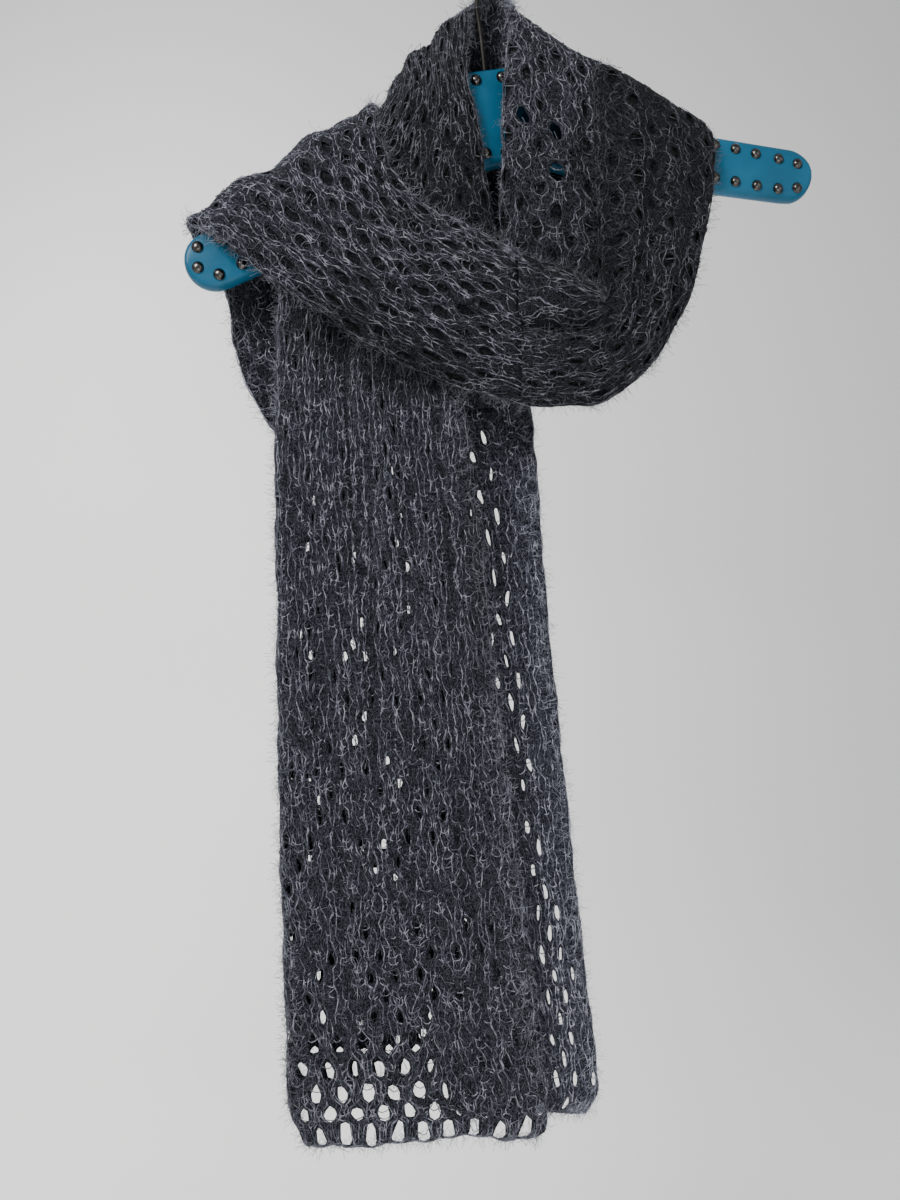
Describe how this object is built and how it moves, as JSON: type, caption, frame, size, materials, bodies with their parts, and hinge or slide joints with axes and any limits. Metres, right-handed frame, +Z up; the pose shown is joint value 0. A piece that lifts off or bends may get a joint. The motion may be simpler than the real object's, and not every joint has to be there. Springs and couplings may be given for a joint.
{
  "type": "knit scarf on hanger",
  "caption": "Fuzzy openwork knit scarf wound once round a leather-covered, studded flat hanger, with both ends hanging down in front and behind.",
  "frame": {"origin": "inside top of the hook, where the hanger hangs on a rail", "axes": "+Z up, the front of the scarf faces -Y, +X to the right seen from the front"},
  "size_m": [0.4438, 0.1199, 0.8173],
  "materials": {
    "knit": "fuzzy mohair lace knit, slate blue grey",
    "leather": "smooth turquoise leather",
    "wire": "dark wire",
    "studs": "dark nickel domes"
  },
  "bodies": {
    "root": {"front_end": "knit", "left_collar": "knit", "neck_back": "knit", "right_collar": "knit", "right_loop": "knit", "inner_fold": "knit", "cross_band": "knit", "shoulder_fold": "knit", "back_drop": "knit", "back_end": "knit", "hanger_bar": "leather", "hanger_hook": "wire", "stud_centre_1": "studs", "stud_centre_2": "studs", "stud_centre_3": "studs", "stud_centre_4": "studs", "stud_right_top_1": "studs", "stud_right_top_2": "studs", "stud_right_top_3": "studs", "stud_right_top_4": "studs", "stud_right_top_5": "studs", "stud_right_low_1": "studs", "stud_right_low_2": "studs", "stud_right_low_3": "studs", "stud_right_low_4": "studs", "stud_right_low_5": "studs", "stud_left_top_1": "studs", "stud_left_top_2": "studs", "stud_left_tip": "studs", "stud_left_low_1": "studs", "stud_left_low_2": "studs"}
  },
  "joints": []
}
